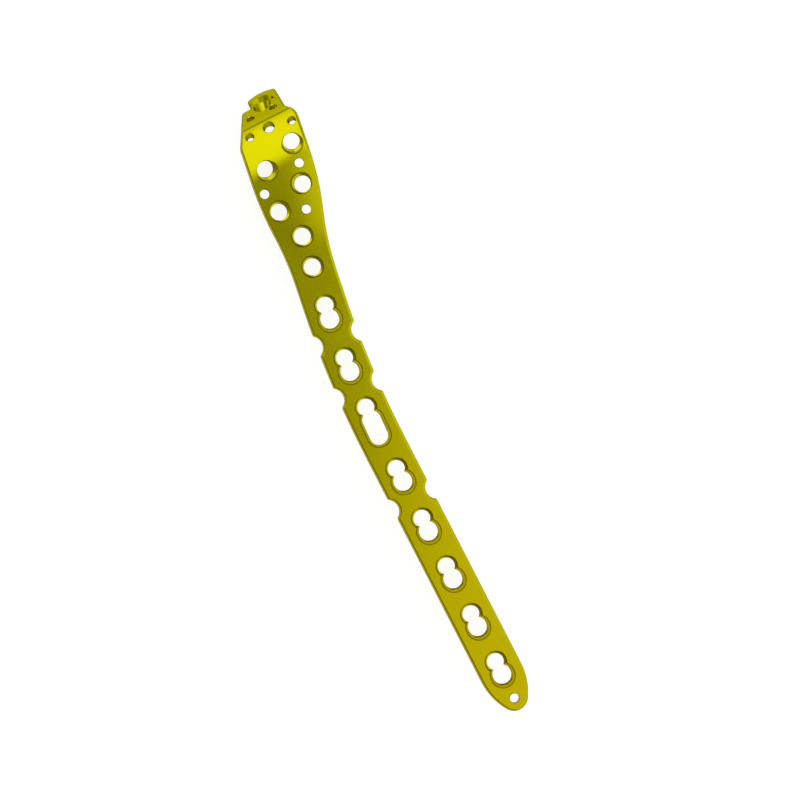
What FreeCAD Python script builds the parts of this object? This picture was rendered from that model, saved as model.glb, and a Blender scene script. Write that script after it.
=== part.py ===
import FreeCAD, Part
import math
import os

import Sketcher

V = FreeCAD.Vector
UP = V(0, 0, 1)
ACROSS = V(0, 1, 0)

# Driving dimensions in millimetres and degrees. The shaft lies along X with its tip towards +X, bone side down.
# A station is a distance along the plan's centre line, from the last hole of the shaft towards the head.
SIZES = {
    # shaft
    "shaft_width": 10.65,
    "shaft_thickness": 3.3,
    "bend_start": 59.0,
    "bend_radius": 247.0,
    "bend_angle": 8.85,
    # bullet tip
    "tip_reach": 13.0,
    "tip_nose_radius": 3.4,
    "tip_flank_angle": 32.6,
    "tip_flank_radius": 15.5,
    # head in plan
    "head_width": 16.0,
    "head_offset": 0.3,
    "flare_start": 102.0,
    "flare_end": 129.0,
    "far_flare_lag": 3.0,
    "near_corner_radius": 3.5,
    "far_corner_radius": 3.2,
    "far_corner_slope": 50.0,
    # head in profile
    "head_thickness": 2.9,
    "relief_start": 116.0,
    "relief_length": 11.0,
    "curl_start": 129.5,
    "curl_radius": 27.0,
    "curl_angle": 27.0,
    # hook
    "fold_radius": 3.0,
    "fold_hollow_radius": 0.8,
    "hook_pitch": 57.0,
    "hook_length": 11.2,
    "hook_thickness": 2.7,
    "hook_width": 11.9,
    "hook_offset": 0.2,
    "hook_taper": 31.0,
    "neck_radius": 0.7,
    "shoulder_reach": 6.4,
    "shoulder_radius": 1.1,
    "tongue_neck_radius": 0.4,
    "tongue_width": 7.5,
    "tongue_slant": 18.0,
    "tongue_dome_radius": 6.0,
    "tongue_corner_radius": 0.9,
    # notches in both edges
    "notch_radius": 2.9,
    "notch_depth": 1.5,
    "notch_lip_radius": 0.7,
    # combination holes
    "hole_pitch": 13.0,
    "notched_pitch": 13.55,
    "slot_pitch": 16.55,
    "lock_to_glide": 3.45,
    "slot_travel": 3.95,
    "glide_radius": 2.27,
    "glide_stretch": 0.2,
    "ramp_radius": 3.1,
    "ramp_travel": 0.35,
    "ramp_slope": 45.0,
    # conical locking holes
    "mouth_radius": 2.75,
    "cone_radius": 2.52,
    "root_radius": 2.08,
    "mouth_depth": 0.3,
    "land_length": 0.8,
    "hook_bore_drop": 4.35,
    "hook_bore_shift": 2.7,
    "hook_seat_reach": 0.85,
    "hook_seat_radius": 3.5,
    "hook_cone_radius": 2.35,
    "hook_cone_depth": 2.3,
    # wire and pin holes
    "tip_hole_inset": 3.1,
    "wire_hole": 2.3,
    "fold_wire_hole": 2.05,
    "hook_wire_hole": 2.0,
    "pin_hole": 2.8,
    "hole_break": 0.15,
    # edges and underside
    "top_round": 0.6,
    "bone_round": 0.2,
}

NECK_STATIONS = (105.45, 113.25)  # upright locking holes of the neck
# Locking holes of the head: station, offset, and the screw's lean in degrees towards the hook and towards +Y.
HEAD_LOCKING = (
    (120.6, -3.35, 0.0, -5.0),
    (125.4, 3.85, -5.0, 5.0),
    (131.0, -3.2, 15.0, -6.0),
    (135.5, 4.75, 13.0, 2.0),
)
# Upright wire holes of the head: station and offset.
HEAD_WIRES = ((119.15, 3.0), (125.7, -5.45), (130.3, 4.85))
# Holes along the fold, square to the curl: station, offset and the dimension that gives the diameter.
FOLD_HOLES = (
    (139.95, -4.55, "fold_wire_hole"),
    (140.9, 0.6, "pin_hole"),
    (140.7, 6.35, "fold_wire_hole"),
)
# Wire holes of the hook: how far in from its -Y side as a share of its width, and how far below the fold.
HOOK_WIRES = ((0.252, 2.1), (0.775, 2.25))
NOTCHED_STATIONS = (44.2, 73.8, 87.1)  # middles of the paired notches
CLEAR = 8.0  # how far a cutting shape runs past the metal

doc = FreeCAD.newDocument("bone_plate")
sheet = doc.addObject("Spreadsheet::Sheet", "Sizes")
for row, (alias, value) in enumerate(SIZES.items(), start=1):
    sheet.set(f"A{row}", alias.replace("_", " "))
    sheet.set(f"B{row}", str(value))
    sheet.setAlias(f"B{row}", alias)
doc.recompute()


def size(alias):
    """A driving dimension, read from the sheet."""
    return float(getattr(sheet, alias))


def tan(degrees):
    return math.tan(math.radians(degrees))


def along(degrees):
    """A unit vector in the drawing plane."""
    return V(math.cos(math.radians(degrees)), math.sin(math.radians(degrees)), 0)


# Centre line in plan


def centre_line(station):
    """The centre line's point at a station, and its turn in degrees from -X towards +Y."""
    run = station - size("bend_start")
    turn = math.degrees(max(run, 0) / size("bend_radius"))
    turn = min(turn, size("bend_angle"))
    straight = run - math.radians(turn) * size("bend_radius")
    swing = math.radians(turn)
    point = V(
        -size("bend_start") - size("bend_radius") * math.sin(swing),
        size("bend_radius") * (1 - math.cos(swing)),
        0,
    )
    return point + along(180 - turn) * straight, turn


def plan_point(station, offset=0.0):
    """A point in plan, at a station and at an offset to the +Y side of the centre line."""
    point, turn = centre_line(station)
    return point + along(90 - turn) * offset


def crossing(p, p_direction, q, q_direction):
    """Where two lines in the drawing plane meet."""
    across = p_direction.x * q_direction.y - p_direction.y * q_direction.x
    gap = q - p
    return p + p_direction * ((gap.x * q_direction.y - gap.y * q_direction.x) / across)


# Side profile: what the top surface does along X


def profile_point(pitch_from, centre, radius):
    """A point of a profile arc, where the surface has pitched down by the angle given."""
    return centre + along(90 + pitch_from) * radius


def profile():
    """Key points of the side profile, in X and Z."""
    curl_centre = V(-size("curl_start"), size("shaft_thickness") - size("curl_radius"), 0)
    curl_end = profile_point(size("curl_angle"), curl_centre, size("curl_radius"))
    fold_centre = curl_end - along(90 + size("curl_angle")) * size("fold_radius")
    fold_end = profile_point(size("hook_pitch"), fold_centre, size("fold_radius"))
    down = along(180 + size("hook_pitch"))
    inward = along(size("hook_pitch") - 90)
    hook_end = fold_end + down * (size("hook_length") + 1.0)
    marks = {
        "curl_centre": curl_centre,
        "curl_end": curl_end,
        "fold_centre": fold_centre,
        "fold_end": fold_end,
        "hook_end": hook_end,
        "hook_back": hook_end + inward * size("hook_thickness"),
        "down": down,
        "inward": inward,
    }
    hollow = size("fold_hollow_radius")
    under_radius = size("curl_radius") - size("head_thickness")
    gap = fold_end + inward * (size("hook_thickness") + hollow) - curl_centre
    rise = gap.dot(down)
    reach = rise + math.sqrt(rise**2 - gap.dot(gap) + (under_radius - hollow) ** 2)
    marks["hollow_centre"] = curl_centre + gap - down * reach
    marks["hollow_foot"] = marks["hollow_centre"] - inward * hollow
    outward = (marks["hollow_centre"] - curl_centre).normalize()
    marks["hollow_top"] = curl_centre + outward * under_radius
    return marks


def top_surface(point):
    """The top surface over a point in plan: the point lifted onto it, and its pitch in degrees."""
    past = -size("curl_start") - point.x
    pitch = math.degrees(math.asin(max(past, 0) / size("curl_radius")))
    drop = size("curl_radius") * (1 - math.cos(math.radians(pitch)))
    return V(point.x, point.y, size("shaft_thickness") - drop), pitch


# Sketch tools


def add_sketch(body, name, role, loops, offset=None):
    """A sketch of closed loops on one of the body's origin planes.

    A loop is a list of pieces, each a start, an end, and a centre if it is an arc; or a circle's centre and radius.
    """
    plane = next(f for f in body.Origin.OriginFeatures if f.Role == role)
    sketch = body.newObject("Sketcher::SketchObject", name)
    sketch.AttachmentSupport = (plane, [""])
    sketch.MapMode = "FlatFace"
    if offset:
        sketch.AttachmentOffset = offset
    for loop in loops:
        if isinstance(loop, tuple):
            sketch.addGeometry(Part.Circle(loop[0], UP, loop[1]), False)
            continue
        ends = [add_piece(sketch, *piece) for piece in loop]
        for this, after in zip(ends, ends[1:] + ends[:1]):
            meet = Sketcher.Constraint("Coincident", this[0], this[2], after[0], after[1])
            sketch.addConstraint(meet)
    return sketch


def add_piece(sketch, start, end, centre=None):
    """Draws a line or an arc, and tells which of its ends come first and last."""
    if centre is None:
        index = sketch.addGeometry(Part.LineSegment(start, end), False)
        return index, 1, 2
    turned = (start - centre).cross(end - centre).z > 0
    first, last = (start, end) if turned else (end, start)
    circle = Part.Circle(centre, UP, (start - centre).Length)
    arc = Part.ArcOfCircle(circle, angle_of(first - centre), angle_of(last - centre))
    index = sketch.addGeometry(arc, False)
    return (index, 1, 2) if turned else (index, 2, 1)


def angle_of(vector):
    return math.atan2(vector.y, vector.x)


def bind(sketch, which, alias):
    """Ties the radius of one piece of a sketch to the sheet."""
    radius = sketch.Geometry[which].Radius
    index = sketch.addConstraint(Sketcher.Constraint("Radius", which, radius))
    sketch.renameConstraint(index, f"{alias}_{which}")
    sketch.setExpression(f"Constraints.{alias}_{which}", f"Sizes.{alias}")


def bind_reach(sketch, which, expression):
    """Ties the distance from the vertical axis to the end of one piece of a sketch to the sheet."""
    point = sketch.Geometry[which].EndPoint
    index = sketch.addConstraint(Sketcher.Constraint("DistanceX", -1, 1, which, 2, point.x))
    sketch.renameConstraint(index, f"reach_{which}")
    sketch.setExpression(f"Constraints.reach_{which}", expression)


def line(start, end):
    return (start, end)


def polygon(points):
    """A closed loop of straight lines."""
    return [line(a, b) for a, b in zip(points, points[1:] + points[:1])]


def rounded_loop(corners):
    """Pieces of a closed polygon whose corners, each a point and a radius, are rounded by tangent arcs."""
    rounded = []
    for i, (corner, radius) in enumerate(corners):
        before = (corners[i - 1][0] - corner).normalize()
        after = (corners[(i + 1) % len(corners)][0] - corner).normalize()
        if not radius:
            rounded.append((corner, corner))
            continue
        half = before.getAngle(after) / 2
        reach = radius / math.tan(half)
        centre = corner + (before + after).normalize() * (radius / math.sin(half))
        rounded.append((corner + before * reach, corner + after * reach, centre))
    pieces = []
    for this, after in zip(rounded, rounded[1:] + rounded[:1]):
        if len(this) == 3:
            pieces.append(this)
        if (after[0] - this[1]).Length > 1e-6:
            pieces.append(line(this[1], after[0]))
    return pieces


def frame_at(origin, x_axis, y_axis):
    """A placement whose drawing plane has the two directions given."""
    rotation = FreeCAD.Rotation(x_axis, y_axis, x_axis.cross(y_axis), "XYZ")
    return FreeCAD.Placement(origin, rotation)


# Features


def add_pocket(body, name, sketch):
    """Cuts a sketch through the whole plate."""
    pocket = body.newObject("PartDesign::Pocket", name)
    pocket.Profile = sketch
    pocket.Type = "ThroughAll"
    pocket.Midplane = True
    return settle(body, pocket)


def add_fillet(body, name, alias, wanted):
    """Rounds the edges of the plate that pass a test, to a radius of the sheet."""
    tip = body.Tip
    names = [f"Edge{i}" for i, edge in enumerate(tip.Shape.Edges, start=1) if wanted(edge)]
    if not names:
        raise RuntimeError(f"{name}: no edge to round")
    fillet = body.newObject("PartDesign::Fillet", name)
    fillet.Base = (tip, names)
    fillet.setExpression("Radius", f"Sizes.{alias}")
    return settle(body, fillet)


def settle(body, feature):
    """Makes a feature the body's tip and checks what it does to the plate."""
    base = feature.BaseFeature
    before = base.Shape.Volume if base else 0.0
    body.Tip = feature
    doc.recompute()
    grows = not base
    change = feature.Shape.Volume - before
    sound = "Invalid" not in feature.State and feature.Shape.isValid()
    if not sound or abs(change) < 1e-4 or (change > 0) != grows:
        raise RuntimeError(f"{feature.Name}: failed, volume changed by {change:.4f}")
    return feature


# Blank: the bent bar, trimmed in plan and at the hook


def make_blank(body):
    """Shaft, curled head and hook as a bent bar, in side profile."""
    marks = profile()
    thick = size("shaft_thickness")
    under = thick - size("head_thickness")
    tip = size("tip_reach") + CLEAR
    relief = -size("relief_start")
    curl_foot = V(-size("curl_start"), under, 0)
    curl_top = V(-size("curl_start"), thick, 0)
    relief_end = V(relief - size("relief_length"), under, 0)
    loop = [
        line(V(tip, thick, 0), curl_top),
        (curl_top, marks["curl_end"], marks["curl_centre"]),
        (marks["curl_end"], marks["fold_end"], marks["fold_centre"]),
        line(marks["fold_end"], marks["hook_end"]),
        line(marks["hook_end"], marks["hook_back"]),
        line(marks["hook_back"], marks["hollow_foot"]),
        (marks["hollow_foot"], marks["hollow_top"], marks["hollow_centre"]),
        (marks["hollow_top"], curl_foot, marks["curl_centre"]),
        line(curl_foot, relief_end),
        line(relief_end, V(relief, 0, 0)),
        line(V(relief, 0, 0), V(tip, 0, 0)),
        line(V(tip, 0, 0), V(tip, thick, 0)),
    ]
    sketch = add_sketch(body, "side_profile", "XZ_Plane", [loop])
    bind(sketch, 1, "curl_radius")
    bind(sketch, 2, "fold_radius")
    bind(sketch, 6, "fold_hollow_radius")
    pad = body.newObject("PartDesign::Pad", "bent_bar")
    pad.Profile = sketch
    pad.Midplane = True
    pad.setExpression("Length", "6 * Sizes.head_width")
    settle(body, pad)


def flare(side):
    """The two corners that widen one edge from the shaft to the head, and where the head's edge begins."""
    lag = size("far_flare_lag") if side > 0 else 0.0
    start = size("flare_start") + lag / 2
    end = size("flare_end") + lag
    narrow = size("shaft_width") / 2
    wide = size("head_width") / 2 + side * size("head_offset")
    gain = wide - narrow
    radius = ((end - start) ** 2 + gain**2) / (4 * gain)
    reach = radius * math.tan(math.asin((end - start) / 2 / radius) / 2)
    first = plan_point(start + reach, side * narrow)
    second = plan_point(end - reach, side * wide)
    return [(first, radius), (second, radius)], plan_point(end, side * wide)


def plan_heading():
    """The direction of the head's centre line in plan."""
    return along(180 - size("bend_angle"))


def edge_corners(side):
    """Corners of one edge of the outline from the tip to the head, where the head's edge begins, and the apex."""
    half = size("shaft_width") / 2
    flank = size("tip_flank_angle")
    nose = size("tip_nose_radius")
    apex = size("tip_reach") - nose + nose / math.sin(math.radians(flank))
    shoulder = V(apex - half / tan(flank), side * half, 0)
    beyond = plan_point(size("flare_end"), side * half)
    bend = crossing(V(0, side * half, 0), V(1, 0, 0), beyond, plan_heading())
    widening, head_edge = flare(side)
    corners = [(shoulder, size("tip_flank_radius")), (bend, size("bend_radius") - side * half)]
    return corners + widening, head_edge, apex


def hook_sides():
    """The Y of the hook's two sides where it leaves the fold, the -Y side first."""
    fold = profile()["fold_end"].x
    middle = crossing(plan_point(-fold), plan_heading(), V(fold, 0, 0), ACROSS).y + size("hook_offset")
    return middle - size("hook_width") / 2, middle + size("hook_width") / 2


def trim_to_plan(body):
    """Cuts the bar to its outline in plan: bullet tip, bend, flared head and the sides of the hook."""
    fold = profile()["fold_end"].x
    near_y, far_y = hook_sides()
    far, far_edge, apex = edge_corners(1)
    near, near_edge, _ = edge_corners(-1)
    hook_reach = profile()["hook_end"].x - CLEAR
    neck = V(fold, far_y, 0)
    near_side = along(-size("hook_taper"))
    far_corner = crossing(far_edge, plan_heading(), neck, along(size("far_corner_slope")))
    near_corner = crossing(near_edge, plan_heading(), V(fold, near_y, 0), near_side)
    near_end = crossing(near_corner, near_side, V(hook_reach, 0, 0), ACROSS)
    corners = [(V(apex, 0, 0), size("tip_nose_radius"))] + far
    corners += [
        (far_corner, size("far_corner_radius")),
        (neck, size("neck_radius")),
        (V(hook_reach, far_y, 0), 0),
        (near_end, 0),
        (near_corner, size("near_corner_radius")),
    ]
    left = hook_reach - CLEAR
    right = size("tip_reach") + 3 * CLEAR
    side = 4 * size("head_width")
    waste = polygon([V(left, -side, 0), V(right, -side, 0), V(right, side, 0), V(left, side, 0)])
    sketch = add_sketch(body, "plan_outline", "XY_Plane", [rounded_loop(corners + near[::-1]), waste])
    add_pocket(body, "plan_trim", sketch)


def hook_frame():
    """The placement of a drawing on the hook's face: x across the plate, y up towards the fold."""
    marks = profile()
    up = in_section(-marks["down"])
    return frame_at(in_section(marks["fold_end"]), ACROSS, up)


def in_section(point):
    """A point or direction of the side profile, in the plate's own axes."""
    return V(point.x, 0, point.y)


def trim_tongue(body):
    """Cuts the shoulder and the domed foot that leave the tongue at the end of the hook."""
    shoulder = -size("shoulder_reach")
    far_y = hook_sides()[1]
    side_y = far_y - size("tongue_width")
    middle = (side_y + far_y) / 2
    rise = tan(size("tongue_slant"))
    sag = size("tongue_dome_radius") * (1 / math.cos(math.radians(size("tongue_slant"))) - 1)
    apex = -size("hook_length") - sag
    corners = [
        (V(side_y - 2 * CLEAR, shoulder, 0), 0),
        (V(side_y, shoulder, 0), size("tongue_neck_radius")),
        (V(side_y, apex + (middle - side_y) * rise, 0), size("tongue_corner_radius")),
        (V(middle, apex, 0), size("tongue_dome_radius")),
        (V(middle + CLEAR, apex + CLEAR * rise, 0), 0),
        (V(middle + CLEAR, apex - CLEAR, 0), 0),
        (V(side_y - 2 * CLEAR, apex - CLEAR, 0), 0),
    ]
    sketch = add_sketch(body, "tongue_outline", "XY_Plane", [rounded_loop(corners)], hook_frame())
    add_pocket(body, "tongue_trim", sketch)
    from_hook = hook_frame().inverse()

    def crosses(edge, y_from, y_to):
        ends = [from_hook.multVec(v.Point) for v in edge.Vertexes]
        if len(ends) < 2 or abs(ends[0].z - ends[1].z) < 0.9 * size("hook_thickness"):
            return False
        return all(end.y < shoulder + 0.1 and y_from < end.x < y_to for end in ends)

    add_fillet(body, "shoulder_round", "shoulder_radius", lambda e: crosses(e, -CLEAR, side_y - 0.6))
    add_fillet(body, "tongue_round", "tongue_corner_radius", lambda e: crosses(e, far_y - 0.1, far_y + 0.1))


# Edges and underside


def cut_notches(body):
    """Cuts the paired round notches of both edges and rounds their lips."""
    out = size("shaft_width") / 2 + size("notch_radius") - size("notch_depth")
    centres = [plan_point(s, side * out) for s in NOTCHED_STATIONS for side in (-1, 1)]
    sketch = add_sketch(body, "notch_circles", "XY_Plane", [(c, size("notch_radius")) for c in centres])
    for i in range(len(centres)):
        bind(sketch, i, "notch_radius")
    add_pocket(body, "notches", sketch)

    def is_lip(edge):
        box = edge.BoundBox
        if box.XLength > 0.01 or box.YLength > 0.01 or box.ZLength < 1.0:
            return False
        foot = V(box.Center.x, box.Center.y, 0)
        return any(abs((foot - c).Length - size("notch_radius")) < 0.01 for c in centres)

    add_fillet(body, "notch_lips", "notch_lip_radius", is_lip)


def skin_of(face, marks):
    """Whether a face belongs to the top or the bone side, or to neither."""
    u0, u1, v0, v1 = face.ParameterRange
    normal = face.normalAt((u0 + u1) / 2, (v0 + v1) / 2)
    if normal.z > 0.3:
        return "top"
    on_foot = face.CenterOfMass.x < marks["curl_end"].x and normal.x < 0.1
    if normal.z < -0.3 and not on_foot:
        return "bone"
    return None


def round_rims(body):
    """Rounds the rims of the outline on the bone side and on top, the hook's with them."""
    marks = profile()
    for skin, alias in (("bone", "bone_round"), ("top", "top_round")):
        shape = body.Tip.Shape
        rim = []
        for edge in shape.Edges:
            skins = [skin_of(face, marks) for face in shape.ancestorsOfType(edge, Part.Face)]
            if sorted(skins, key=str) == sorted([skin, None], key=str):
                rim.append(edge)
        add_fillet(body, alias, alias, lambda e: any(e.isSame(r) for r in rim))


# Cutters: each is drawn once about its own axis, its plate surface at height zero, and linked to its places


def add_turned(name, loop):
    """A turned cutter. Its section is drawn with the radius along x and the axis along y."""
    body = doc.addObject("PartDesign::Body", name)
    doc.recompute()
    sketch = add_sketch(body, f"{name}_section", "XZ_Plane", [loop])
    turned = body.newObject("PartDesign::Revolution", f"{name}_turned")
    turned.Profile = sketch
    turned.ReferenceAxis = (sketch, ["V_Axis"])
    turned.Angle = 360.0
    settle(body, turned)
    return body, sketch


def add_lock_cutter(name, thickness):
    """A conical locking hole: mouth, cone and a short cylindrical land at the bone side."""
    depth = size(thickness)
    mouth = size("mouth_radius")
    cone = size("cone_radius")
    root = size("root_radius")
    loop = polygon(
        [
            V(0, CLEAR, 0),
            V(mouth, CLEAR, 0),
            V(mouth, 0, 0),
            V(cone, -size("mouth_depth"), 0),
            V(root, size("land_length") - depth, 0),
            V(root, -depth - CLEAR, 0),
            V(0, -depth - CLEAR, 0),
        ]
    )
    body, sketch = add_turned(name, loop)
    bind_reach(sketch, 1, "Sizes.mouth_radius")
    bind_reach(sketch, 2, "Sizes.cone_radius")
    bind_reach(sketch, 3, "Sizes.root_radius")
    return body


def add_wire_cutter(alias):
    """A plain hole for a wire or a pin, with a broken edge at the surface."""
    radius = size(alias) / 2
    wide = radius + size("hole_break")
    loop = polygon(
        [
            V(0, CLEAR / 4, 0),
            V(wide, CLEAR / 4, 0),
            V(wide, 0, 0),
            V(radius, -size("hole_break"), 0),
            V(radius, -CLEAR, 0),
            V(0, -CLEAR, 0),
        ]
    )
    body, sketch = add_turned(f"{alias}_cutter", loop)
    bind_reach(sketch, 1, f"Sizes.{alias} / 2 + Sizes.hole_break")
    bind_reach(sketch, 2, f"Sizes.{alias} / 2")
    return body


def add_hook_cutter():
    """The hook's locking hole: a recess down to a seat, then the cone and the land."""
    recess = size("hook_seat_radius")
    cone = size("hook_cone_radius")
    root = size("root_radius")
    depth = size("hook_cone_depth")
    loop = polygon(
        [
            V(0, CLEAR, 0),
            V(recess, CLEAR, 0),
            V(recess, 0, 0),
            V(cone, 0, 0),
            V(root, -depth, 0),
            V(root, -CLEAR, 0),
            V(0, -CLEAR, 0),
        ]
    )
    body, sketch = add_turned("hook_cutter", loop)
    bind_reach(sketch, 1, "Sizes.hook_seat_radius")
    bind_reach(sketch, 2, "Sizes.hook_cone_radius")
    bind_reach(sketch, 3, "Sizes.root_radius")
    return body


def add_ramp_cutter(name, reach):
    """The bowl of a gliding hole: a ball of the screw head's size, swept along the cutter's axis."""
    radius = size("ramp_radius")
    low = V(0, -radius, 0)
    high = V(0, reach + radius, 0)
    side = V(radius, 0, 0)
    upper_side = V(radius, reach, 0)
    loop = [
        (low, side, V(0, 0, 0)),
        line(side, upper_side),
        (upper_side, high, V(0, reach, 0)),
        line(high, low),
    ]
    body, sketch = add_turned(name, loop)
    bind(sketch, 0, "ramp_radius")
    return body


def add_glide_cutter(name, travel):
    """The straight wall of a gliding hole: a slot along X, from its first screw place onwards."""
    radius = size("glide_radius")
    half = (travel + size("glide_stretch")) / 2
    middle = V(travel / 2, 0, 0)
    fore = middle + V(half, 0, 0)
    aft = middle - V(half, 0, 0)
    side = V(0, radius, 0)
    end = V(radius, 0, 0)
    loop = [
        (fore - side, fore + end, fore),
        (fore + end, fore + side, fore),
        line(fore + side, aft + side),
        (aft + side, aft - end, aft),
        (aft - end, aft - side, aft),
        line(aft - side, fore - side),
    ]
    body = doc.addObject("PartDesign::Body", name)
    doc.recompute()
    sketch = add_sketch(body, f"{name}_outline", "XY_Plane", [loop])
    bind(sketch, 0, "glide_radius")
    pad = body.newObject("PartDesign::Pad", f"{name}_slot")
    pad.Profile = sketch
    pad.Midplane = True
    pad.Length = 2 * (size("shaft_thickness") + CLEAR)
    settle(body, pad)
    return body


def put(cutter, name, position, axis=UP, turn=0.0):
    """Links a cutter to one of its places, along an axis or turned about the vertical."""
    rotation = FreeCAD.Rotation(UP, axis) * FreeCAD.Rotation(UP, turn)
    copy = doc.addObject("App::Link", name)
    copy.LinkedObject = cutter
    copy.LinkTransform = False
    copy.Placement = FreeCAD.Placement(position, rotation)
    return copy


def shaft_stations():
    """The station of each combination hole, from hole 8 at the tip's end to hole 1 by the neck."""
    pitches = ["hole_pitch"] * 3 + ["notched_pitch", "slot_pitch", "hole_pitch", "notched_pitch"]
    stations = [0.0]
    for alias in pitches:
        stations.append(stations[-1] + size(alias))
    return dict(zip(range(8, 0, -1), stations))


def combination_cutters(lock):
    """Combination holes: a conical locking hole run together with a ramped gliding hole. Hole 3 is a long slot."""
    glide = add_glide_cutter("glide_cutter", 0.0)
    slot = add_glide_cutter("slot_cutter", size("slot_travel"))
    slope = math.radians(size("ramp_slope"))
    ramp = add_ramp_cutter("ramp_cutter", size("ramp_travel") / math.cos(slope))
    slot_ramp = add_ramp_cutter("slot_ramp_cutter", size("slot_travel"))
    cutters = []
    for number, station in shaft_stations().items():
        _, turn = centre_line(station)
        heading = along(-turn)
        top = plan_point(station) + V(0, 0, size("shaft_thickness"))
        glide_top = top + heading * size("lock_to_glide")
        cutters.append(put(lock, f"lock_{number}", top))
        if number == 3:
            cutters.append(put(slot, f"glide_{number}", glide_top, turn=-turn))
            cutters.append(put(slot_ramp, f"ramp_{number}", glide_top, heading))
            continue
        cutters.append(put(glide, f"glide_{number}", glide_top, turn=-turn))
        uphill = heading * math.cos(slope) + UP * math.sin(slope)
        cutters.append(put(ramp, f"ramp_{number}", glide_top, uphill))
    return cutters


def neck_cutters(lock):
    """Upright locking holes of the neck."""
    top = V(0, 0, size("shaft_thickness"))
    return [put(lock, f"neck_lock_{i}", plan_point(s) + top) for i, s in enumerate(NECK_STATIONS, start=1)]


def head_cutters():
    """Locking holes of the head, each along its own screw's axis."""
    lock = add_lock_cutter("head_lock_cutter", "head_thickness")
    cutters = []
    for number, (station, offset, to_hook, to_side) in enumerate(HEAD_LOCKING, start=1):
        surface, _ = top_surface(plan_point(station, offset))
        axis = V(tan(to_hook), -tan(to_side), 1).normalize()
        cutters.append(put(lock, f"head_lock_{number}", surface, axis))
    return cutters


def wire_cutters():
    """Plain holes for wires and pins: upright ones, those along the fold and those of the hook."""
    aliases = ("wire_hole", "fold_wire_hole", "hook_wire_hole", "pin_hole")
    kinds = {alias: add_wire_cutter(alias) for alias in aliases}
    tip_hole = V(size("tip_reach") - size("tip_hole_inset"), 0, 0)
    upright = [tip_hole] + [plan_point(station, offset) for station, offset in HEAD_WIRES]
    cutters = []
    for number, centre in enumerate(upright):
        surface, _ = top_surface(centre)
        cutters.append(put(kinds["wire_hole"], f"wire_{number}", surface))
    for number, (station, offset, alias) in enumerate(FOLD_HOLES, start=1):
        surface, pitch = top_surface(plan_point(station, offset))
        square = in_section(along(90 + pitch))
        cutters.append(put(kinds[alias], f"fold_hole_{number}", surface, square))
    near_y, _ = hook_sides()
    marks = profile()
    for number, (share, drop) in enumerate(HOOK_WIRES, start=1):
        surface = in_section(marks["fold_end"] + marks["down"] * drop)
        surface += V(0, near_y + share * size("hook_width"), 0)
        square = in_section(-marks["inward"])
        cutters.append(put(kinds["hook_wire_hole"], f"hook_wire_{number}", surface, square))
    return cutters


def hook_bore():
    """The hook's locking hole, level and in line with the head. Its seat stands out from the hook's face."""
    marks = profile()
    level = marks["fold_end"] + marks["down"] * (size("hook_bore_drop") / -marks["down"].y)
    side = hook_sides()[1] - size("tongue_width") + size("hook_bore_shift")
    seat = in_section(level) + V(0, side, 0) + plan_heading() * size("hook_seat_reach")
    return put(add_hook_cutter(), "hook_bore", seat, plan_heading())


def reference_point():
    """The plate's origin: on the axis of the first locking hole of the neck, halfway along its land."""
    return plan_point(NECK_STATIONS[0]) + V(0, 0, size("land_length") / 2)


def make_plate():
    blank = doc.addObject("PartDesign::Body", "plate_blank")
    doc.recompute()
    make_blank(blank)
    trim_to_plan(blank)
    trim_tongue(blank)
    cut_notches(blank)
    round_rims(blank)
    holes = doc.addObject("Part::MultiFuse", "holes")
    lock = add_lock_cutter("shaft_lock_cutter", "shaft_thickness")
    shaft_and_neck = combination_cutters(lock) + neck_cutters(lock)
    holes.Shapes = shaft_and_neck + head_cutters() + wire_cutters() + [hook_bore()]
    plate = doc.addObject("Part::Cut", "bone_plate")
    plate.Label = "bone_plate"
    plate.Base = blank
    plate.Tool = holes
    plate.Placement = FreeCAD.Placement(-reference_point(), FreeCAD.Rotation())
    doc.recompute()
    return plate


def check(plate):
    """Stops the build if any object failed or the plate isn't one sound solid."""
    for item in doc.Objects:
        if "Invalid" in item.State or "Error" in item.State:
            raise RuntimeError(f"{item.Label}: {item.State}")
    shape = plate.Shape
    if shape.isNull() or not shape.isValid() or len(shape.Solids) != 1:
        raise RuntimeError("bone_plate: not one sound solid")


plate = make_plate()
check(plate)
os.makedirs("parts", exist_ok=True)
plate.Shape.exportStep(f"parts/{plate.Label}.step")
print(f"volume {plate.Shape.Volume:.1f} mm3, {len(plate.Shape.Faces)} faces, box {plate.Shape.BoundBox}")
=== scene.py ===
import math

import bpy
from mathutils import Matrix, Vector


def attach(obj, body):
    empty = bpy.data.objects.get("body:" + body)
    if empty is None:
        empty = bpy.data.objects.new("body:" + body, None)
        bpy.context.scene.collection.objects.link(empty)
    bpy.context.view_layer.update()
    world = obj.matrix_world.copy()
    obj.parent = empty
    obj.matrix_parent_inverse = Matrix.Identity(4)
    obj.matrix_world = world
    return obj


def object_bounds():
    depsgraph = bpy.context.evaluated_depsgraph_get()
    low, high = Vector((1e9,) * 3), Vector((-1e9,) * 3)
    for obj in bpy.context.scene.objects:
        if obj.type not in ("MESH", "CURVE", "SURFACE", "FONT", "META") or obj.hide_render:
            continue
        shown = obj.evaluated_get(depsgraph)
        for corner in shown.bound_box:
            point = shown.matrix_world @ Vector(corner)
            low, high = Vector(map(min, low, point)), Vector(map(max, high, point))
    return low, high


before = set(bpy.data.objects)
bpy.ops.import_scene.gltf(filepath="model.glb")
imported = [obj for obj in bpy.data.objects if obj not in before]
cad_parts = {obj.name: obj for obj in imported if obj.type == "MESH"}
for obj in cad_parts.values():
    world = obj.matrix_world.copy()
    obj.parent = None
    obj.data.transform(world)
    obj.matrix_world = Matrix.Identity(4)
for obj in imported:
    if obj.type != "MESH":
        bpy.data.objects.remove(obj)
cad_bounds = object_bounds()

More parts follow.
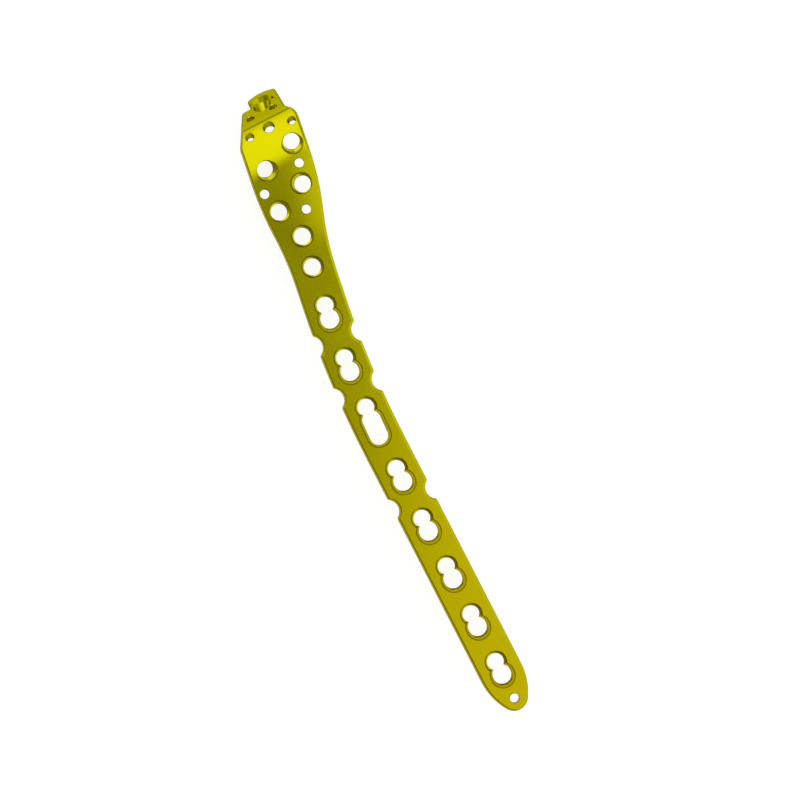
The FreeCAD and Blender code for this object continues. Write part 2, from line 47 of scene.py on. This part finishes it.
# Metres, in the plate's own frame: the shaft along +X, the bone side down.
UP = Vector((0, 0, 1))
PLATE_TOP = 0.0029

# The view from above: its middle, what points right in it, its lean towards that, and its width there.
VIEW_CENTRE = Vector((0.03828, 0.00407, PLATE_TOP))
VIEW_RIGHT = Vector((0.4571, 0.8894, 0.0)).normalized()
VIEW_LEAN = math.radians(2.3)
VIEW_DISTANCE = 1.41
VIEW_WIDTH = 0.1933
VIEW_CLIP = (0.1, 20.0)

# Floor, sky and the white wall that fades into the sky between two heights above the horizon.
FLOOR_SIZE = 6.0
FLOOR_GAP = 0.0005
FLOOR_SHADE = 0.42
FLOOR_ROUGHNESS = 0.9
FLOOR_GLOW = 0.72
SKY_STRENGTH = 0.316
WALL_FADE = (math.radians(10), math.radians(27))
# Softboxes: name, tilt from the vertical and heading from +X in degrees, distance, width, height, radiance.
SOFTBOXES = (
    ("hook_side", 36.0, 180.0, 1.0, 0.8, 0.855, 1.5),
    ("tip_side", 38.2, 50.0, 0.332, 0.674, 0.491, 0.84),
)

# The plate's centre line in plan.
# A station is a distance along it, from the last hole of the shaft to the head.
LAST_HOLE = Vector((0.10520, -0.00422, PLATE_TOP))
BEND_STATION = 0.059
BEND_RADIUS = 0.247
BEND_TURN = math.radians(8.85)
CURL_STATION = 0.1295
CURL_RADIUS = 0.027

# Where along X the shaft's crown grows into the head's, and how sharp they are, as one over a radius.
CROWN_BLEND = (0.0, -0.010)
SHAFT_CROWN = 1.8
HEAD_CROWN = 14.0

# Anodised finish: its yellow from the tip to the head, how clouds shift it, the grain, and the gloss.
TIP_YELLOW = (0.46, 0.375, 0.001, 1)
HEAD_YELLOW = (0.45, 0.42, 0.001, 1)
YELLOW_ENDS = (0.15, 0.95)
EDGE_TINT = (0.12, 0.08, 0.02, 1)
CLOUD_SCALE = 90.0
CLOUD_DETAIL = 4.0
CLOUD_SHARE = 0.3
GRAIN_SCALE = 4500.0
GRAIN_DETAIL = 2.0
GRAIN_HEIGHT = 0.0000004
ROUGHNESS = (0.20, 0.27)

# Locking holes: a cone between two depths, and the gliding half that opens it in the combination holes.
SHAFT_STATIONS = (0.0, 0.013, 0.026, 0.039, 0.05255, 0.0691, 0.0821, 0.09565)
NECK_STATIONS = (0.10545, 0.11325)
# Station, offset to +Y, and the screw's lean in degrees towards the hook and towards +Y.
HEAD_HOLES = (
    (0.1206, -0.00335, 0, -5),
    (0.1254, 0.00385, -5, 5),
    (0.1310, -0.0032, 15, -6),
    (0.1355, 0.00475, 13, 2),
)
SHAFT_LAND_DEPTH = 0.0025
HEAD_LAND_DEPTH = 0.0021
MOUTH_DEPTH = 0.0003
CONE_RADIUS = 0.00252
ROOT_RADIUS = 0.00208
GLIDE_AWAY = 0.00345
BOWL_RADIUS = 0.0031
SLOT_RADIUS = 0.00227

# Their thread: how far a turn falls, the ridge's height and half width, and how deep its roots are sunk.
THREAD_LEAD = 0.0009
THREAD_STARTS = 2
THREAD_HEIGHT = 0.00018
THREAD_HALF = 0.0001
THREAD_ROOTED = 0.00003
THREAD_STEPS = 48


# Materials


def new_material(name):
    """A material with a fresh Principled shader: its tree and that shader."""
    material = bpy.data.materials.new(name)
    material.use_nodes = True
    tree = material.node_tree
    shader = next(n for n in tree.nodes if n.type == "BSDF_PRINCIPLED")
    return material, tree, shader


def math_node(tree, operation, *inputs):
    """A Math node's output; each input is a number or another node's output."""
    node = tree.nodes.new("ShaderNodeMath")
    node.operation = operation
    for socket, value in zip(node.inputs, inputs):
        if isinstance(value, (int, float)):
            socket.default_value = value
        else:
            tree.links.new(value, socket)
    return node.outputs["Value"]


def map_range(tree, value, source, target, smooth=False):
    """A Map Range node's output: the value taken from one pair of ends to another."""
    node = tree.nodes.new("ShaderNodeMapRange")
    if smooth:
        node.interpolation_type = "SMOOTHSTEP"
    for name, ends in (("From", source), ("To", target)):
        node.inputs[f"{name} Min"].default_value = ends[0]
        node.inputs[f"{name} Max"].default_value = ends[1]
    tree.links.new(value, node.inputs["Value"])
    return node.outputs["Result"]


def noise(tree, place, scale, detail):
    """A noise texture's value at a place."""
    node = tree.nodes.new("ShaderNodeTexNoise")
    node.inputs["Scale"].default_value = scale
    node.inputs["Detail"].default_value = detail
    tree.links.new(place, node.inputs["Vector"])
    return node.outputs["Fac"]


def split(tree, vector):
    """A vector's outputs along X, Y and Z."""
    node = tree.nodes.new("ShaderNodeSeparateXYZ")
    tree.links.new(vector, node.inputs["Vector"])
    return node.outputs["X"], node.outputs["Y"], node.outputs["Z"]


def crown_height(tree, x, y):
    """How far the faintly crowned skin falls to either side of the bent centre line, in metres."""
    past = math_node(tree, "SUBTRACT", LAST_HOLE.x - BEND_STATION, x)
    past = math_node(tree, "MAXIMUM", past, 0.0)
    bent = math_node(tree, "MINIMUM", past, BEND_RADIUS * BEND_TURN)
    sag = math_node(tree, "DIVIDE", math_node(tree, "MULTIPLY", bent, bent), 2 * BEND_RADIUS)
    straight = math_node(tree, "MULTIPLY", math_node(tree, "SUBTRACT", past, bent), BEND_TURN)
    swing = math_node(tree, "ADD", sag, straight)
    aside = math_node(tree, "SUBTRACT", math_node(tree, "SUBTRACT", y, swing), LAST_HOLE.y)
    fall = math_node(tree, "MULTIPLY", math_node(tree, "MULTIPLY", aside, aside), -0.5)
    crown = map_range(tree, x, CROWN_BLEND, (SHAFT_CROWN, HEAD_CROWN), smooth=True)
    return math_node(tree, "MULTIPLY", fall, crown)


def anodised_titanium():
    """Yellow anodised titanium, satin: a fine grain and slight clouds in the oxide's colour."""
    material, tree, shader = new_material("anodised_titanium")
    link = tree.links.new
    place = tree.nodes.new("ShaderNodeTexCoord").outputs["Object"]
    x, y, _ = split(tree, place)

    clouds = noise(tree, place, CLOUD_SCALE, CLOUD_DETAIL)
    run = map_range(tree, x, (cad_bounds[1].x, cad_bounds[0].x), (0.0, 1.0))
    colour = tree.nodes.new("ShaderNodeValToRGB")
    for element, position, yellow in zip(
        colour.color_ramp.elements, YELLOW_ENDS, (TIP_YELLOW, HEAD_YELLOW)
    ):
        element.position = position
        element.color = yellow
    link(math_node(tree, "MULTIPLY_ADD", clouds, CLOUD_SHARE, run), colour.inputs["Fac"])
    link(colour.outputs["Color"], shader.inputs["Base Color"])
    shader.inputs["Specular Tint"].default_value = EDGE_TINT

    grain = noise(tree, place, GRAIN_SCALE, GRAIN_DETAIL)
    skin = math_node(tree, "MULTIPLY_ADD", grain, GRAIN_HEIGHT, crown_height(tree, x, y))
    bump = tree.nodes.new("ShaderNodeBump")
    bump.inputs["Strength"].default_value = 1.0
    bump.inputs["Distance"].default_value = 1.0
    link(skin, bump.inputs["Height"])
    link(bump.outputs["Normal"], shader.inputs["Normal"])

    link(map_range(tree, clouds, (0.0, 1.0), ROUGHNESS), shader.inputs["Roughness"])
    shader.inputs["Metallic"].default_value = 1.0
    return material


def floor_paper():
    """White paper: it takes the plate's shadow, and shows and mirrors as white."""
    material, tree, shader = new_material("floor_paper")
    shader.inputs["Base Color"].default_value = (FLOOR_SHADE, FLOOR_SHADE, FLOOR_SHADE, 1)
    shader.inputs["Roughness"].default_value = FLOOR_ROUGHNESS
    shader.inputs["Specular IOR Level"].default_value = 0.0
    path = tree.nodes.new("ShaderNodeLightPath")
    seen = math_node(
        tree, "MAXIMUM", path.outputs["Is Camera Ray"], path.outputs["Is Glossy Ray"]
    )
    seen = math_node(tree, "MAXIMUM", seen, path.outputs["Is Transmission Ray"])
    tree.links.new(seen, shader.inputs["Emission Strength"])
    shader.inputs["Emission Color"].default_value = (FLOOR_GLOW, FLOOR_GLOW, FLOOR_GLOW, 1)
    return material


# Threads of the locking holes


def skin_height(x):
    """The height of the plate's top skin, which curls down towards the hook."""
    past = max(LAST_HOLE.x - CURL_STATION - x, 0.0)
    return PLATE_TOP - CURL_RADIUS + math.sqrt(CURL_RADIUS**2 - past**2)


def plate_point(station, offset=0.0):
    """A point of the plate's top skin, and the direction along the centre line towards the tip."""
    run = station - BEND_STATION
    turn = min(max(run, 0.0) / BEND_RADIUS, BEND_TURN)
    to_tip = Vector((math.cos(turn), -math.sin(turn), 0))
    to_side = Vector((math.sin(turn), math.cos(turn), 0))
    bend_centre = LAST_HOLE + Vector((-BEND_STATION, BEND_RADIUS, 0))
    point = bend_centre - to_side * (BEND_RADIUS - offset) - to_tip * (run - turn * BEND_RADIUS)
    point.z = skin_height(point.x)
    return point, to_tip


def wall_radius(height, land_depth):
    """The radius of a locking hole's cone at a height below its mouth."""
    share = (-height - MOUTH_DEPTH) / (land_depth - MOUTH_DEPTH)
    return CONE_RADIUS + (ROOT_RADIUS - CONE_RADIUS) * min(max(share, 0.0), 1.0)


def metal_left(place):
    """How far a place in a combination hole, measured from its cone, is clear of the gliding half."""
    from_slot = math.hypot(place.x - GLIDE_AWAY, place.y) - SLOT_RADIUS
    from_bowl = (place - Vector((GLIDE_AWAY, 0, 0))).length - BOWL_RADIUS
    return min(from_slot, from_bowl)


def add_ridge(vertices, faces, rings):
    """Adds a closed ridge through a run of rings, each an upper root, a crest and a lower root."""
    corners = len(rings[0])
    first = len(vertices)
    last = first + corners * (len(rings) - 1)
    vertices += [point for ring in rings for point in ring]
    faces += [(first, first + 1, first + 2), (last + 2, last + 1, last)]
    for here in range(first, last, corners):
        beyond = here + corners
        for corner in range(corners):
            after = (corner + 1) % corners
            faces.append((beyond + corner, beyond + after, here + after, here + corner))


def add_thread(vertices, faces, mouth, to_tip, axis, land_depth, combined):
    """Adds one hole's ridges, which fade out on the land and where the gliding half opens the wall."""
    side = axis.cross(to_tip).normalized()
    hole_axes = Matrix((side.cross(axis), side, axis)).transposed()
    start_height = -MOUTH_DEPTH - THREAD_HALF
    turns = (land_depth + start_height) / THREAD_LEAD
    steps = int(turns * THREAD_STEPS)
    for start in range(THREAD_STARTS):
        rings = []
        for step in range(steps + 1):
            angle = 2 * math.pi * (step / THREAD_STEPS + start / THREAD_STARTS)
            out = Vector((math.cos(angle), math.sin(angle), 0))
            height = start_height - THREAD_LEAD * step / THREAD_STEPS
            radius = wall_radius(height, land_depth)
            place = out * radius + UP * height
            point = mouth + hole_axes @ place
            buried = skin_height(point.x) - point.z - MOUTH_DEPTH
            crest = min(THREAD_HEIGHT, buried, radius - ROOT_RADIUS + THREAD_ROOTED)
            if combined:
                crest = min(crest, metal_left(place))
            if crest >= THREAD_ROOTED:
                upper = height + THREAD_HALF
                lower = height - THREAD_HALF
                ring = (
                    (wall_radius(upper, land_depth) + THREAD_ROOTED, upper),
                    (radius - crest, height),
                    (wall_radius(lower, land_depth) + THREAD_ROOTED, lower),
                )
                rings.append([mouth + hole_axes @ (out * reach + UP * at) for reach, at in ring])
            elif rings:
                add_ridge(vertices, faces, rings)
                rings = []
        if rings:
            add_ridge(vertices, faces, rings)


def cut_threads(material):
    """The threads of every locking hole in the shaft, the neck and the head, as one piece."""
    vertices, faces = [], []
    for station in SHAFT_STATIONS + NECK_STATIONS:
        mouth, to_tip = plate_point(station)
        combined = station in SHAFT_STATIONS
        add_thread(vertices, faces, mouth, to_tip, UP, SHAFT_LAND_DEPTH, combined)
    for station, offset, to_hook, to_side in HEAD_HOLES:
        mouth, to_tip = plate_point(station, offset)
        to_hook, to_side = math.radians(to_hook), math.radians(to_side)
        lean = Vector((math.tan(to_hook), -math.tan(to_side), 1)).normalized()
        add_thread(vertices, faces, mouth, to_tip, lean, HEAD_LAND_DEPTH, False)
    mesh = bpy.data.meshes.new("locking_threads")
    mesh.from_pydata(vertices, [], faces)
    mesh.materials.append(material)
    threads = bpy.data.objects.new("locking_threads", mesh)
    bpy.context.scene.collection.objects.link(threads)
    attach(threads, "root")


# Stage


def lay_floor():
    """A wide flat floor just below the hook's end."""
    lo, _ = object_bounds()
    middle = (VIEW_CENTRE.x, VIEW_CENTRE.y, lo.z - FLOOR_GAP)
    bpy.ops.mesh.primitive_plane_add(size=FLOOR_SIZE, location=middle)
    floor = bpy.context.object
    floor.name = "floor"
    floor.data.materials.append(floor_paper())


def set_world():
    """An even studio whose wall, all round and low down, is white."""
    world = bpy.data.worlds.new("studio")
    bpy.context.scene.world = world
    world.use_nodes = True
    tree = world.node_tree
    background = tree.nodes["Background"]
    background.inputs["Color"].default_value = (1, 1, 1, 1)
    direction = tree.nodes.new("ShaderNodeTexCoord").outputs["Generated"]
    _, _, rise = split(tree, direction)
    fade = [math.sin(height) for height in WALL_FADE]
    strength = map_range(tree, rise, fade, (1.0, SKY_STRENGTH), smooth=True)
    tree.links.new(strength, background.inputs["Strength"])


def placed(position, right, up, back):
    """The matrix that stands a lamp or a camera at a position, looking against back."""
    turned = Matrix((right, up, back)).transposed().to_4x4()
    return Matrix.Translation(position) @ turned


def add_softbox(name, tilt, heading, distance, width, height, radiance):
    """A soft rectangular lamp aimed at the middle of the view."""
    tilt, heading = math.radians(tilt), math.radians(heading)
    level = Vector((math.cos(heading), math.sin(heading), 0))
    away = level * math.sin(tilt) + UP * math.cos(tilt)
    side = UP.cross(level)
    data = bpy.data.lights.new(name, "AREA")
    data.shape = "RECTANGLE"
    data.size = width
    data.size_y = height
    data.energy = radiance * math.pi * width * height
    lamp = bpy.data.objects.new(name, data)
    lamp.matrix_world = placed(VIEW_CENTRE + away * distance, side, away.cross(side), away)
    bpy.context.scene.collection.objects.link(lamp)


def aim_camera():
    """A camera straight above the plate but for a slight lean, framed on the width of the view."""
    up = UP.cross(VIEW_RIGHT)
    back = UP * math.cos(VIEW_LEAN) - VIEW_RIGHT * math.sin(VIEW_LEAN)
    data = bpy.data.cameras.new("camera")
    data.lens = data.sensor_width * VIEW_DISTANCE / VIEW_WIDTH
    data.clip_start, data.clip_end = VIEW_CLIP
    camera = bpy.data.objects.new("camera", data)
    camera.matrix_world = placed(VIEW_CENTRE + back * VIEW_DISTANCE, up.cross(back), up, back)
    bpy.context.scene.collection.objects.link(camera)
    bpy.context.scene.camera = camera


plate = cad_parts["bone_plate"]
titanium = anodised_titanium()
plate.data.materials.clear()
plate.data.materials.append(titanium)
cut_threads(titanium)

lay_floor()
set_world()
for softbox in SOFTBOXES:
    add_softbox(*softbox)
aim_camera()
bpy.context.scene.view_settings.view_transform = "Standard"
